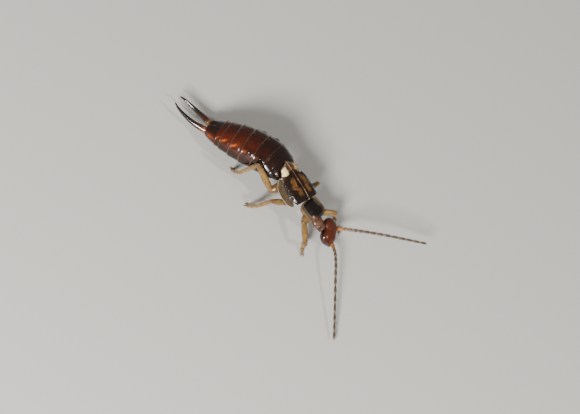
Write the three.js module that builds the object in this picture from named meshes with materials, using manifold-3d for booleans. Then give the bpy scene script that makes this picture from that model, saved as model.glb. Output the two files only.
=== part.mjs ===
// A common earwig, female, life size, at rest on its six feet with the feelers spread.
// Millimetres and degrees. It looks along +X, its left side is +Y and it stands at z = 0.
import * as THREE from 'three';
import { mergeVertices } from 'three/addons/utils/BufferGeometryUtils.js';
import Module from 'manifold-3d';

const wasm = await Module();
wasm.setup();

// Clearance between neighbouring parts
const GAP = 0.1;

// Stance: height and nose-down pitch of the thorax, and how the front parts turn
const THORAX_HEIGHT = 2.35;
const THORAX_PITCH = 12;
const PROTHORAX = { x: 1.3, z: 0.15, yaw: 13.4, pitch: 2.1, roll: -2.3 };
const HEAD_JOINT = { x: 2.4, z: -0.36, yaw: 40, pitch: 19.5, roll: 17.5 };

// Thorax under the wing covers: ends, half width, height above and depth below its middle
const THORAX = { back: -1.05, front: 1.15, half: 0.62, top: 0.1, bottom: 0.8 };

// Wing covers: ends, half widths at the shoulder and the widest point, top, keel, lower edge and flare
const COVER = {
  back: -1.15, front: 1.24, shoulder: 1.27, half: 1.25, top: 0.72, keel: 0.03, edge: -0.34, flare: 0.14,
};

// Folded wing tips that show behind the covers
const WING_TIP = { back: -1.84, front: -1.25, side: 0.5, half: 0.47, top: 0.68 };

// Neck plate and the front thorax below it
const PLATE = { back: 0.06, front: 1.56, half: 1.08, top: 0.42, bottom: 0.1 };
const FRONT_BODY = { back: 0.02, front: 1.42, half: 0.6, top: 0.06, bottom: 0.52 };

// Head: centre on its own joint, half length, half width and half height
const HEAD = { x: 0.78, z: 0.05, length: 0.88, half: 1.04, height: 0.46, notch: 0.2 };
const EYE = { x: 0.98, y: 0.85, z: 0.1, length: 0.25, depth: 0.2, height: 0.24 };
const NECK_RADIUS = 0.34;

// Feelers: lengths of the segments from the base outwards, and thickness at base, middle and tip
const FEELER_SEGMENTS = [0.7, 0.2, 0.42, 0.34, 0.4, 0.46, 0.52, 0.56, 0.6, 0.62, 0.62, 0.62, 0.6, 0.56];
const FEELER_RADII = [0.25, 0.24, 0.15];
const FEELER_BASE = { x: 1.28, y: 0.5, z: 0.0 };

// Points that each feeler passes on its way to the tip
const FEELERS = {
  left: [[4.8, 2.3, 1.75], [6.15, 4.1, 1.85], [8.5, 7.87, 1.25]],
  right: [[5.55, -0.05, 1.15], [7.3, -1.75, 0.95], [10.57, -4.9, 0.3]],
};

// Hind body: one row for each ring, from the front: length, then half width and half height at its
// rear edge, and the bend at its front joint
const RING_FRONT = { half: 1.15, height: 0.3 };
const RINGS = [
  { length: 0.75, half: 1.52, height: 0.62, bend: 9 },
  { length: 0.85, half: 1.62, height: 1.1, bend: 11 },
  { length: 0.95, half: 1.61, height: 1.17, bend: 9 },
  { length: 1.0, half: 1.6, height: 1.18, bend: 4 },
  { length: 0.95, half: 1.5, height: 1.07, bend: 1 },
  { length: 0.85, half: 1.32, height: 0.86, bend: 1 },
  { length: 0.42, half: 1.2, height: 0.74, bend: 0 },
];
const HIND_START = { x: -1.15, z: -0.05 };
const LAST_RING = { length: 1.0, half: 1.14, rear: 0.68, height: 0.7, rearHeight: 0.4, bend: 0 };
const STEP = 0.05;

// Low bumps on both sides of two rings: place along the ring, height on its side and half sizes
const TUBERCLE_RINGS = [2, 3];
const TUBERCLE = { way: 0.48, angle: 36, length: 0.24, width: 0.2, rise: 0.1 };

// Forceps: their spread, bow and hook are sideways, the sag is downwards and the lift turns them up
const FORCEPS = {
  length: 3.15, root: 0.4, spread: 0.12, bow: 0.15, hook: 0.09, sag: 0.15, radius: 0.26, lift: -21.4,
};

// Legs: root inside the body, end of the coxa, knee, ankle and toe, all in the model's frame
const LEGS = {
  front_right: [
    [2.15, -0.1, 1.65], [2.37, -0.72, 1.45], [3.74, -1.7, 1.1], [3.45, -1.15, 0.42], [3.95, -1.6, 0],
  ],
  front_left: [
    [2.0, 0.5, 1.65], [2.25, 1.0, 1.45], [3.04, 2.22, 1.68], [3.4, 2.6, 0.5], [3.95, 2.75, 0],
  ],
  middle_right: [
    [0.4, -0.3, 1.7], [0.35, -0.85, 1.35], [-0.15, -2.1, 1.7], [-0.65, -2.5, 0.62], [-1.1, -2.7, 0],
  ],
  middle_left: [
    [0.4, 0.3, 1.7], [0.4, 0.85, 1.35], [0.55, 2.49, 1.96], [0.2, 2.95, 0.75], [-0.3, 3.2, 0],
  ],
  hind_right: [
    [-0.7, -0.3, 1.75], [-0.95, -1.05, 1.3], [-2.6, -2.45, 3.35], [-3.35, -2.2, 1.1], [-3.98, -1.6, 0],
  ],
  hind_left: [
    [-0.7, 0.3, 1.75], [-0.95, 1.0, 1.3], [-1.95, 2.15, 1.75], [-3.0, 2.9, 0.75], [-3.6, 3.2, 0],
  ],
};
const LEG_RADII = { coxa: 0.36, femur: 0.28, tibia: 0.25, tarsus: 0.21, toe: 0.17 };

const MATERIALS = {
  head: new THREE.MeshStandardMaterial({ color: 0x4a1208, roughness: 0.25 }),
  eye: new THREE.MeshStandardMaterial({ color: 0x0a0808, roughness: 0.2 }),
  feeler: new THREE.MeshStandardMaterial({ color: 0x6b5236, roughness: 0.5 }),
  plate: new THREE.MeshStandardMaterial({ color: 0x1d120c, roughness: 0.25 }),
  cover: new THREE.MeshStandardMaterial({ color: 0x4a2c16, roughness: 0.3 }),
  wing: new THREE.MeshStandardMaterial({ color: 0xd8b98a, roughness: 0.4 }),
  hind: new THREE.MeshStandardMaterial({ color: 0x2e0f08, roughness: 0.25 }),
  forceps: new THREE.MeshStandardMaterial({ color: 0x190b07, roughness: 0.15 }),
  leg: new THREE.MeshStandardMaterial({ color: 0x9a7338, roughness: 0.45 }),
};

const rad = THREE.MathUtils.degToRad;
const lerp = THREE.MathUtils.lerp;
const smooth = THREE.MathUtils.smoothstep;

// The frames: thorax, front thorax, head, and the hind body that bends back from the thorax
const animal = new THREE.Group();
const thoraxFrame = new THREE.Group();
thoraxFrame.position.z = THORAX_HEIGHT;
thoraxFrame.rotation.y = rad(THORAX_PITCH);
animal.add(thoraxFrame);

function turnedFrame(parent, joint) {
  const frame = new THREE.Group();
  frame.position.set(joint.x, 0, joint.z);
  frame.rotation.set(rad(joint.roll), rad(joint.pitch), rad(joint.yaw), 'ZYX');
  parent.add(frame);
  return frame;
}

const frontFrame = turnedFrame(thoraxFrame, PROTHORAX);
const headFrame = turnedFrame(frontFrame, HEAD_JOINT);

// The hind body bends down and to the right at once, about one slanting axis, and the forceps
// lift about their own
const BEND_AXIS = new THREE.Vector3(0, -0.9, 0.42).normalize();
const LIFT_AXIS = new THREE.Vector3(0, -1, 0.083).normalize();

function ringFrame(parent, x, z, bend, axis = BEND_AXIS) {
  const frame = new THREE.Group();
  frame.position.set(x, 0, z);
  frame.quaternion.setFromAxisAngle(axis, rad(bend));
  parent.add(frame);
  return frame;
}

const ringFrames = [];
let parentFrame = thoraxFrame;
let start = HIND_START;
for (const ring of RINGS) {
  parentFrame = ringFrame(parentFrame, start.x, start.z, ring.bend);
  ringFrames.push(parentFrame);
  start = { x: -ring.length, z: 0 };
}
const lastFrame = ringFrame(parentFrame, start.x, 0, LAST_RING.bend);
const forcepsFrame = ringFrame(lastFrame, -LAST_RING.length, 0.02, FORCEPS.lift, LIFT_AXIS);
animal.updateMatrixWorld(true);

// Moves every vertex of a geometry by a function of its place
function reshape(geometry, move) {
  const place = geometry.getAttribute('position');
  const point = new THREE.Vector3();
  for (let i = 0; i < place.count; i += 1) {
    point.fromBufferAttribute(place, i);
    const moved = move(point.x, point.y, point.z);
    place.setXYZ(i, moved.x, moved.y, moved.z);
  }
  return geometry;
}

// Six times the volume that the triangles enclose, below zero when they face inwards
function signedVolume(place, index) {
  const a = new THREE.Vector3();
  const b = new THREE.Vector3();
  const c = new THREE.Vector3();
  let sum = 0;
  for (let i = 0; i < index.length; i += 3) {
    a.fromBufferAttribute(place, index[i]);
    b.fromBufferAttribute(place, index[i + 1]);
    c.fromBufferAttribute(place, index[i + 2]);
    sum += a.dot(b.cross(c));
  }
  return sum;
}

// A geometry as a solid in the model's frame
function solid(geometry, frame) {
  geometry.deleteAttribute('normal');
  geometry.deleteAttribute('uv');
  if (frame) geometry.applyMatrix4(frame.matrixWorld);
  const merged = mergeVertices(geometry, 1e-5);
  const place = merged.getAttribute('position');
  const index = Array.from(merged.index.array);
  if (signedVolume(place, index) < 0) index.reverse();
  const mesh = new wasm.Mesh({
    numProp: 3,
    vertProperties: new Float32Array(place.array),
    triVerts: new Uint32Array(index),
  });
  const body = new wasm.Manifold(mesh);
  if (body.status() !== 'NoError') throw new Error(`a piece is not closed: ${body.status()}`);
  return body;
}

// A solid's largest closed piece
function largest(body) {
  const pieces = body.decompose();
  pieces.sort((a, b) => b.volume() - a.volume());
  return pieces[0];
}

function join(bodies) {
  return bodies.reduce((sum, body) => sum.add(body));
}

function cut(body, ...others) {
  return others.reduce((rest, other) => rest.subtract(other), body);
}

// Adds a named part: the solid's largest piece, expressed in the frame that carries it
function addPart(name, frame, body, material) {
  const mesh = largest(body).getMesh();
  const geometry = new THREE.BufferGeometry();
  geometry.setAttribute('position', new THREE.BufferAttribute(new Float32Array(mesh.vertProperties), 3));
  geometry.setIndex(new THREE.BufferAttribute(new Uint32Array(mesh.triVerts), 1));
  geometry.applyMatrix4(frame.matrixWorld.clone().invert());
  geometry.computeVertexNormals();
  const part = new THREE.Mesh(geometry, material);
  part.name = name;
  frame.add(part);
}

// A closed body along X. Half width, height and depth are functions of the way along it, from 0 at
// its back to 1 at its front. Its sections are ovals that grow squarer as the power rises from 2.
function hull(size, { power = 2, sides = 24, steps = 12, grow = 0 } = {}) {
  const geometry = new THREE.CylinderGeometry(1, 1, 1, sides, steps);
  return reshape(geometry, (x, y, z) => {
    const way = y + 0.5;
    const reach = Math.hypot(x, z);
    let fill = 1;
    if (reach > 0) fill = reach / (Math.abs(x) ** power + Math.abs(z) ** power) ** (1 / power);
    const height = (z > 0 ? size.top(way) : size.bottom(way)) + grow;
    return new THREE.Vector3(
      lerp(size.back - grow, size.front + grow, way),
      -x * fill * (size.half(way) + grow),
      z * fill * height,
    );
  });
}

// Rounds off both ends of a body: 1 along most of it, less over the last part of each end
function rounded(way, backEnd, frontEnd, least = 0.5) {
  const fromBack = Math.min(1, way / backEnd);
  const fromFront = Math.min(1, (1 - way) / frontEnd);
  const nearest = Math.min(Math.sin(fromBack * Math.PI / 2), Math.sin(fromFront * Math.PI / 2));
  return lerp(least, 1, nearest);
}

// A limb segment between two points, with its radii at even steps
function segment(from, to, radii, { sides = 7 } = {}) {
  const length = from.distanceTo(to);
  const profile = [new THREE.Vector2(0, 0)];
  radii.forEach((radius, i) => {
    profile.push(new THREE.Vector2(radius, length * i / (radii.length - 1)));
  });
  profile.push(new THREE.Vector2(0, length));
  const geometry = new THREE.LatheGeometry(profile, sides);
  const along = to.clone().sub(from).normalize();
  geometry.applyQuaternion(new THREE.Quaternion().setFromUnitVectors(new THREE.Vector3(0, 1, 0), along));
  geometry.translate(from.x, from.y, from.z);
  return solid(geometry);
}

function ball(centre, radius, detail = 6) {
  const geometry = new THREE.SphereGeometry(radius, detail, Math.ceil(detail * 0.75));
  geometry.translate(centre.x, centre.y, centre.z);
  return solid(geometry);
}

function box(low, high, frame) {
  const geometry = new THREE.BoxGeometry(high[0] - low[0], high[1] - low[1], high[2] - low[2]);
  geometry.translate((low[0] + high[0]) / 2, (low[1] + high[1]) / 2, (low[2] + high[2]) / 2);
  return solid(geometry, frame);
}

// Thorax
function thoraxBody(grow = 0) {
  const size = {
    back: THORAX.back,
    front: THORAX.front,
    half: (way) => THORAX.half * rounded(way, 0.2, 0.3, 0.7),
    top: () => THORAX.top,
    bottom: (way) => THORAX.bottom * rounded(way, 0.3, 0.3, 0.6),
  };
  return solid(hull(size, { power: 2.6, grow, steps: 8 }), thoraxFrame);
}

// Hind body: rings that each overlap the front of the next one
function ringBody(number, grow = 0) {
  const ring = RINGS[number];
  const before = number > 0 ? RINGS[number - 1] : RING_FRONT;
  const overlap = number > 0 ? 0.2 : 0;
  const size = {
    back: -ring.length,
    front: overlap,
    half: (way) => lerp(ring.half, before.half - STEP, way) + bulge(way),
    top: (way) => lerp(ring.height, before.height - STEP, way) + bulge(way),
    bottom: (way) => 0.9 * lerp(ring.height, before.height - STEP, way),
  };
  return solid(hull(size, { power: 2.2, grow, steps: 3, sides: 26 }), ringFrames[number]);
}

function bulge(way) {
  return 0.04 * Math.sin(Math.PI * way);
}

// A low bump on one side of a ring, half sunk in its surface
function tubercle(number, side, grow) {
  const ring = RINGS[number];
  const before = RINGS[number - 1];
  const angle = rad(TUBERCLE.angle);
  const half = lerp(ring.half, before.half - STEP, TUBERCLE.way);
  const height = lerp(ring.height, before.height - STEP, TUBERCLE.way);
  const fill = 1 / (Math.cos(angle) ** 2.2 + Math.sin(angle) ** 2.2) ** (1 / 2.2);
  const geometry = new THREE.SphereGeometry(1, 8, 6);
  geometry.scale(TUBERCLE.length + grow, TUBERCLE.rise + grow, TUBERCLE.width + grow);
  geometry.rotateX(angle);
  geometry.translate(
    -ring.length * (1 - TUBERCLE.way),
    half * Math.cos(angle) * fill,
    height * Math.sin(angle) * fill,
  );
  geometry.scale(1, side, 1);
  return solid(geometry, ringFrames[number]);
}

function hindBody(grow = 0) {
  const rings = RINGS.map((ring, number) => ringBody(number, grow));
  const bumps = TUBERCLE_RINGS.flatMap((number) => [-1, 1].map((side) => tubercle(number, side, grow)));
  return join([...rings, ...bumps]);
}

// Last ring: it tapers to the forceps
function lastBody(grow = 0) {
  const size = {
    back: -LAST_RING.length,
    front: 0.1,
    half: (way) => lerp(LAST_RING.rear, LAST_RING.half, Math.sin(way * Math.PI / 2) ** 0.8),
    top: (way) => lerp(LAST_RING.rearHeight, LAST_RING.height, way),
    bottom: (way) => 0.9 * lerp(LAST_RING.rearHeight, LAST_RING.height, way),
  };
  return solid(hull(size, { power: 2.4, grow, steps: 6, sides: 28 }), lastFrame);
}

// Forceps: a rod on a bowed line whose thickness falls to a fine point that hooks inwards
function forcepsArm(side) {
  const geometry = new THREE.CylinderGeometry(1, 1, 1, 12, 14);
  const line = (way) => {
    const bow = FORCEPS.bow * Math.sin(Math.PI * way ** 0.9) - FORCEPS.hook * smooth(way, 0.85, 1);
    const sag = -FORCEPS.sag * Math.sin(Math.PI * way);
    const sideways = FORCEPS.root + FORCEPS.spread * way + bow;
    return new THREE.Vector3(0.12 - way * FORCEPS.length, side * sideways, sag);
  };
  reshape(geometry, (x, y, z) => {
    const way = y + 0.5;
    const middle = line(way);
    const radius = FORCEPS.radius * (1 - way) ** 0.6 + 0.025;
    middle.y += -x * radius;
    middle.z += z * radius;
    return middle;
  });
  return solid(geometry, forcepsFrame);
}

// Wing covers: two shells over the thorax that meet at the seam, folded down along a keel
function coverShell() {
  const size = {
    back: COVER.back,
    front: COVER.front,
    half: (way) => lerp(COVER.half * (1 - 0.12 * (1 - way) ** 3), COVER.shoulder, smooth(way, 0.55, 1)),
    top: (way) => COVER.top - 0.07 * smooth(way, 0.75, 1) - 0.04 * (1 - way),
    bottom: () => 0.9,
  };
  const geometry = hull(size, { power: 3.4, sides: 40, steps: 10 });
  reshape(geometry, (x, y, z) => {
    const flare = 1 + COVER.flare * smooth(0.55 - z, 0, 0.7);
    const keel = Math.abs(Math.atan2(z / COVER.top, Math.abs(y) / COVER.half) - Math.PI / 4) < 0.05;
    const raise = z > 0 && keel ? COVER.keel : 0;
    return new THREE.Vector3(x, y * flare + Math.sign(y) * raise, z + raise);
  });
  return solid(geometry, thoraxFrame);
}

// The room of one cover: its side of the seam, above a lower edge that curves up at both ends
function coverRoom(side) {
  const outline = new THREE.Shape();
  outline.moveTo(COVER.back - 0.5, 2);
  outline.lineTo(COVER.back - 0.5, 0.45);
  outline.lineTo(COVER.back, 0.3);
  outline.quadraticCurveTo(-0.9, COVER.edge - 0.03, 0, COVER.edge);
  outline.quadraticCurveTo(0.8, COVER.edge + 0.02, COVER.front, 0.1);
  outline.lineTo(COVER.front + 0.5, 0.2);
  outline.lineTo(COVER.front + 0.5, 2);
  const geometry = new THREE.ExtrudeGeometry(outline, { depth: 3, bevelEnabled: false, curveSegments: 6 });
  geometry.rotateX(Math.PI / 2);
  geometry.translate(0, side > 0 ? 3 + GAP / 2 : -GAP / 2, 0);
  return solid(geometry, thoraxFrame);
}

function wingTipRoom(side) {
  const near = side * GAP / 2;
  const far = side * 4;
  const low = [WING_TIP.back - 1, Math.min(near, far), 0.1];
  return box(low, [WING_TIP.front, Math.max(near, far), 2], thoraxFrame);
}

// Wing tips: a blunt tongue on each side, thin towards its end
function wingTip(side) {
  const size = {
    back: WING_TIP.back,
    front: WING_TIP.front,
    half: (way) => WING_TIP.half * Math.sqrt(1 - 0.82 * (1 - way) ** 2),
    top: (way) => WING_TIP.top - 0.06 * (1 - way) ** 2,
    bottom: () => 0,
  };
  const geometry = hull(size, { power: 2.4, sides: 20, steps: 6 });
  geometry.translate(0, side * WING_TIP.side, 0);
  return solid(geometry, thoraxFrame);
}

// Neck plate: a shield with a raised disc in front and thin side margins
function neckPlate(grow = 0) {
  const size = {
    back: PLATE.back,
    front: PLATE.front,
    half: (way) => PLATE.half * rounded(way, 0.18, 0.2, 0.88) * lerp(1.0, 0.98, way),
    top: (way) => PLATE.top * rounded(way, 0.2, 0.2, 0.6),
    bottom: () => PLATE.bottom,
  };
  return solid(hull(size, { power: 2.6, grow, sides: 28, steps: 9 }), frontFrame);
}

// Front thorax: a small keg that hangs close under the neck plate
function frontBody(grow = 0) {
  const size = {
    back: FRONT_BODY.back,
    front: FRONT_BODY.front,
    half: (way) => FRONT_BODY.half * rounded(way, 0.3, 0.4, 0.6),
    top: () => FRONT_BODY.top,
    bottom: (way) => FRONT_BODY.bottom * rounded(way, 0.3, 0.4, 0.5),
  };
  const geometry = hull(size, { power: 2.6, grow, sides: 20, steps: 8 });
  geometry.translate(0, 0, -PLATE.bottom - GAP - FRONT_BODY.top);
  return solid(geometry, frontFrame);
}

// Head: a flattened, squared oval, narrower in front and notched behind
function headBody(grow = 0) {
  const geometry = new THREE.SphereGeometry(1, 26, 16);
  geometry.rotateX(Math.PI / 2);
  reshape(geometry, (x, y, z) => {
    const fill = 1 / (Math.abs(x) ** 2.6 + Math.abs(y) ** 2.6 + Math.abs(z) ** 2.2) ** (1 / 2.6);
    const forward = x * fill;
    const left = y * fill;
    const narrow = 1 - 0.3 * smooth(forward, 0.1, 1);
    const notch = forward < 0 ? HEAD.notch * Math.exp(-((left / 0.34) ** 2)) * -forward : 0;
    return new THREE.Vector3(
      HEAD.x + forward * (HEAD.length + grow) + notch,
      left * narrow * (HEAD.half + grow),
      HEAD.z + z * fill * (HEAD.height + grow) * (1 - 0.25 * smooth(forward, 0.3, 1)),
    );
  });
  return solid(geometry, headFrame);
}

function eyeBody(side, grow = 0) {
  const geometry = new THREE.SphereGeometry(1, 12, 8);
  geometry.scale(EYE.length + grow, EYE.depth + grow, EYE.height + grow);
  geometry.translate(EYE.x, side * EYE.y, EYE.z);
  return solid(geometry, headFrame);
}

function neckBody() {
  const size = {
    back: 1.2,
    front: 2.7,
    half: (way) => NECK_RADIUS * lerp(1.2, 1, way),
    top: () => NECK_RADIUS * 0.9,
    bottom: () => NECK_RADIUS * 0.9,
  };
  const geometry = hull(size, { sides: 16, steps: 3 });
  geometry.translate(0, 0, HEAD_JOINT.z);
  return solid(geometry, frontFrame);
}

// Mouthparts: upper lip, a pair of jaws under it and the feeler-like palps
function mouthparts() {
  const lip = new THREE.SphereGeometry(1, 10, 6);
  lip.scale(0.26, 0.36, 0.14);
  lip.translate(HEAD.x + HEAD.length + 0.02, 0, -0.04);
  const pieces = [solid(lip, headFrame)];
  for (const side of [-1, 1]) {
    const jaw = new THREE.SphereGeometry(1, 8, 6);
    jaw.scale(0.3, 0.24, 0.17);
    jaw.translate(HEAD.x + HEAD.length - 0.04, side * 0.2, -0.2);
    pieces.push(solid(jaw, headFrame));
    const route = [[1.2, 0.25, -0.22], [1.42, 0.42, -0.26], [1.56, 0.4, -0.28]];
    const points = route.map(([x, y, z]) => headFrame.localToWorld(new THREE.Vector3(x, side * y, z)));
    for (let i = 0; i + 1 < points.length; i += 1) {
      pieces.push(segment(points[i], points[i + 1], [0.11, 0.13, 0.1], { sides: 6 }));
      pieces.push(ball(points[i + 1], 0.1, 6));
    }
  }
  return join(pieces);
}

// Feelers: segments threaded along a smooth curve, each waisted at its base
function feeler(side, name) {
  const base = headFrame.localToWorld(new THREE.Vector3(FEELER_BASE.x, side * FEELER_BASE.y, FEELER_BASE.z));
  const points = FEELERS[name].map((point) => new THREE.Vector3(...point));
  const curve = new THREE.CatmullRomCurve3([base, ...points]);
  const total = FEELER_SEGMENTS.reduce((sum, length) => sum + length);
  const pieces = [];
  let way = 0;
  FEELER_SEGMENTS.forEach((length, i) => {
    const from = curve.getPointAt(way);
    way = Math.min(1, way + length / total);
    const to = curve.getPointAt(way);
    const thick = lerp(FEELER_RADII[i < 3 ? 0 : 1], FEELER_RADII[2], Math.max(0, way - 0.6) / 0.4);
    const tip = i === FEELER_SEGMENTS.length - 1 ? 0.5 : 0.94;
    from.addScaledVector(to.clone().sub(from).normalize(), -0.06);
    pieces.push(segment(from, to, [0.72 * thick, thick, tip * thick], { sides: 6 }));
  });
  return join(pieces);
}

// Legs: coxa, femur, tibia, a foot of three segments and two claws, with a flat under the toe
function leg(points) {
  const [root, hip, knee, ankle, toe] = points.map((point) => new THREE.Vector3(...point));
  const radii = LEG_RADII;
  toe.z = radii.toe * 0.6;
  const pieces = [
    segment(root, hip, [radii.coxa, radii.coxa, radii.femur * 0.9]),
    segment(hip, knee, [0.75, 1, 1, 0.8].map((part) => part * radii.femur)),
    segment(knee, ankle, [0.9, 1, 0.9].map((part) => part * radii.tibia)),
    ball(hip, radii.femur * 0.95),
    ball(knee, radii.tibia * 0.98),
    ball(ankle, radii.tarsus),
    ball(toe, radii.toe),
  ];
  const footParts = [0, 0.45, 0.68, 1];
  for (let i = 0; i < 3; i += 1) {
    const from = ankle.clone().lerp(toe, footParts[i] - 0.06);
    const to = ankle.clone().lerp(toe, footParts[i + 1]);
    const radius = lerp(radii.tarsus, radii.toe, i / 2);
    pieces.push(segment(from, to, [0.85 * radius, radius, 0.95 * radius], { sides: 6 }));
  }
  const forward = toe.clone().sub(ankle).setZ(0).normalize();
  const across = new THREE.Vector3(-forward.y, forward.x, 0);
  for (const side of [-1, 1]) {
    const claw = toe.clone().addScaledVector(forward, 0.34).addScaledVector(across, side * 0.14);
    claw.z = 0.03;
    pieces.push(segment(toe, claw, [0.1, 0.07, 0.02], { sides: 6 }));
  }
  return cut(join(pieces), box([-8, -8, -1], [8, 8, 0]));
}

// Putting the animal together: each part is cleared of the ones that it grows from
const thorax = thoraxBody();
const thoraxRoom = thoraxBody(GAP);
const hind = cut(hindBody(), thoraxRoom);
const hindRoom = hindBody(GAP);
const front = frontBody();
const head = headBody();
const eyeRooms = [eyeBody(-1, GAP / 2), eyeBody(1, GAP / 2)];

addPart('thorax', thoraxFrame, thorax, MATERIALS.plate);
addPart('abdomen', ringFrames[0], hind, MATERIALS.hind);
addPart('last_segment', lastFrame, cut(lastBody(), hindRoom), MATERIALS.hind);
addPart('prothorax', frontFrame, cut(front, thoraxRoom), MATERIALS.leg);
addPart('pronotum', frontFrame, neckPlate(), MATERIALS.plate);
addPart('head', headFrame, cut(head, ...eyeRooms), MATERIALS.head);
addPart('neck', frontFrame, cut(neckBody(), frontBody(GAP), headBody(GAP), neckPlate(GAP)), MATERIALS.head);
addPart('mouthparts', headFrame, cut(mouthparts(), headBody(GAP)), MATERIALS.leg);

const shell = cut(coverShell(), thoraxRoom, hindRoom, neckPlate(GAP));
const lastRoom = lastBody(GAP);
for (const [name, side] of [['left', 1], ['right', -1]]) {
  const eye = eyeBody(side, -GAP / 2);
  addPart(`eye_${name}`, headFrame, eye, MATERIALS.eye);
  addPart(`tegmen_${name}`, thoraxFrame, shell.intersect(coverRoom(side)), MATERIALS.cover);
  const tip = cut(wingTip(side), hindRoom).intersect(wingTipRoom(side));
  addPart(`wing_tip_${name}`, thoraxFrame, tip, MATERIALS.wing);
  addPart(`antenna_${name}`, headFrame, cut(feeler(side, name), headBody(GAP)), MATERIALS.feeler);
  addPart(`forceps_${name}`, forcepsFrame, cut(forcepsArm(side), lastRoom), MATERIALS.forceps);
}

const frontRoom = frontBody(GAP);
for (const [name, points] of Object.entries(LEGS)) {
  const carrier = name.startsWith('front') ? frontFrame : thoraxFrame;
  const rooms = name.startsWith('front') ? [frontRoom] : [thoraxRoom, hindRoom];
  addPart(`leg_${name}`, carrier, cut(leg(points), ...rooms), MATERIALS.leg);
}

// The origin is on the floor, under the middle of the whole animal
const bounds = new THREE.Box3().setFromObject(animal, true);
const middle = bounds.getCenter(new THREE.Vector3());
animal.position.set(-middle.x, -middle.y, -bounds.min.z);

export default animal;
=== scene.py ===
import bpy
import numpy as np
from mathutils import Matrix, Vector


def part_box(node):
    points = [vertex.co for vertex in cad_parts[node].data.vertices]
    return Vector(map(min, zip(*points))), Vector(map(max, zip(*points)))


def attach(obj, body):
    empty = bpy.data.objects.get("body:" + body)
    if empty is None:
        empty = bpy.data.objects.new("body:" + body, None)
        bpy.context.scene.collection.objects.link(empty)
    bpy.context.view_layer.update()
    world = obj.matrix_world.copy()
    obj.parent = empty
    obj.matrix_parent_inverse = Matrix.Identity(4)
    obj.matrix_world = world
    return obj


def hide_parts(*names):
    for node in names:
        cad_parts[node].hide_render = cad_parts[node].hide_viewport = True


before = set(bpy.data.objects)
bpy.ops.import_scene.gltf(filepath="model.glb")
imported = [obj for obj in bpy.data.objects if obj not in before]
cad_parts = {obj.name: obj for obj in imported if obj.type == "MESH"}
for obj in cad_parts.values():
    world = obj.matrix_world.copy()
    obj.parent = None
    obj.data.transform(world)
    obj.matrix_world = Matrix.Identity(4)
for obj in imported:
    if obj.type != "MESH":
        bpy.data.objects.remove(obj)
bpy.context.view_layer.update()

# Stance. The thorax stands nose down over the feet, the front of the animal turns to its left,
# and the hind body bends down and to the right. Sizes are in millimetres and degrees.
MM = 0.001
X_AXIS, Y_AXIS, Z_AXIS = np.eye(3)


def turn(axis, degrees):
    """Matrix of a turn about an axis: the part along the axis stays, the rest turns in its plane."""
    axis = np.asarray(axis, float) / np.linalg.norm(axis)
    cross = np.cross(np.eye(3), axis)
    angle = np.radians(degrees)
    return np.eye(3) + np.sin(angle) * cross + (1 - np.cos(angle)) * cross @ cross


def jointed(carrier, offset, turned):
    """Frame (matrix, origin) of a part whose joint lies at an offset in its carrier's frame."""
    matrix, origin = carrier
    return matrix @ turned, origin + matrix @ np.asarray(offset, float)


thorax_frame = (turn(Y_AXIS, 12), np.array([0, 0, 2.35]))
front_turn = turn(Z_AXIS, 13.4) @ turn(Y_AXIS, 2.1) @ turn(X_AXIS, -2.3)
front_frame = jointed(thorax_frame, (1.3, 0, 0.15), front_turn)
head_turn = turn(Z_AXIS, 40) @ turn(Y_AXIS, 19.5) @ turn(X_AXIS, 17.5)
head_frame = jointed(front_frame, (2.4, 0, -0.36), head_turn)

EYE_PLACE = np.array([0.98, 0.85, 0.1])
eye_low, eye_high = (np.array(corner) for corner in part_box("eye_left"))
eye_in_model = head_frame[1] + head_frame[0] @ EYE_PLACE
SHIFT = (eye_low + eye_high) / 2 / MM - eye_in_model


# Hind body. Seven hard plates over the back, each tucked under the one before it, seven softer
# plates under the belly, and the folded skin that joins them and lets the body bend.
RING_FRONT = (1.15, 0.3)
# Length, half width at the rear, half height at the rear, bend in degrees.
RINGS = [
    (0.75, 1.52, 0.62, 9),
    (0.85, 1.62, 1.1, 11),
    (0.95, 1.61, 1.17, 9),
    (1.0, 1.6, 1.18, 4),
    (0.95, 1.5, 1.07, 1),
    (0.85, 1.32, 0.86, 1),
    (0.42, 1.2, 0.74, 0),
]
HIND_START = (-1.15, 0, -0.05)
LAST_LENGTH = 1.0
PLATE_STEP = 0.05
BEND_AXIS = (0, -0.9, 0.42)
ring_frames = []
carrier, offset = thorax_frame, HIND_START
for ring_length, _, _, ring_bend in RINGS:
    carrier = jointed(carrier, offset, turn(BEND_AXIS, ring_bend))
    ring_frames.append(carrier)
    offset = (-ring_length, 0, 0)
last_frame = jointed(carrier, offset, np.eye(3))

RED_BLACK = (0.006, 0.003, 0.0022)
MAHOGANY = (0.035, 0.0065, 0.0028)
GLOWING_RED = (0.125, 0.016, 0.004)
# Painted glint colour: amber light shining through the thin cuticle high on each side of the back plates.
PAINTED_GLINT_AMBER = (0.5, 0.11, 0.012)
PALE_RIM = (0.2, 0.1, 0.04)
OLIVE_BROWN = (0.052, 0.037, 0.01)
FOLD_BROWN = (0.06, 0.03, 0.014)
FRONT_DARK = (0.95, 0.9, 0.75, 0.35, 0.18, 0.1, 0.1)
# How much painted amber glint each ring gets.
PAINTED_GLINT_SHARE = (0, 0, 0.25, 0.7, 0.95, 0.95, 0.6)
BUMPY_RINGS, BUMP_ANGLE = (2, 3), 36


def oval(angle, power):
    """Point of a unit oval in the direction of an angle; powers above 2 fill out its corners."""
    across, up = np.cos(angle), np.sin(angle)
    fill = (np.abs(across) ** power + np.abs(up) ** power) ** (-1 / power)
    return across * fill, up * fill


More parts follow.
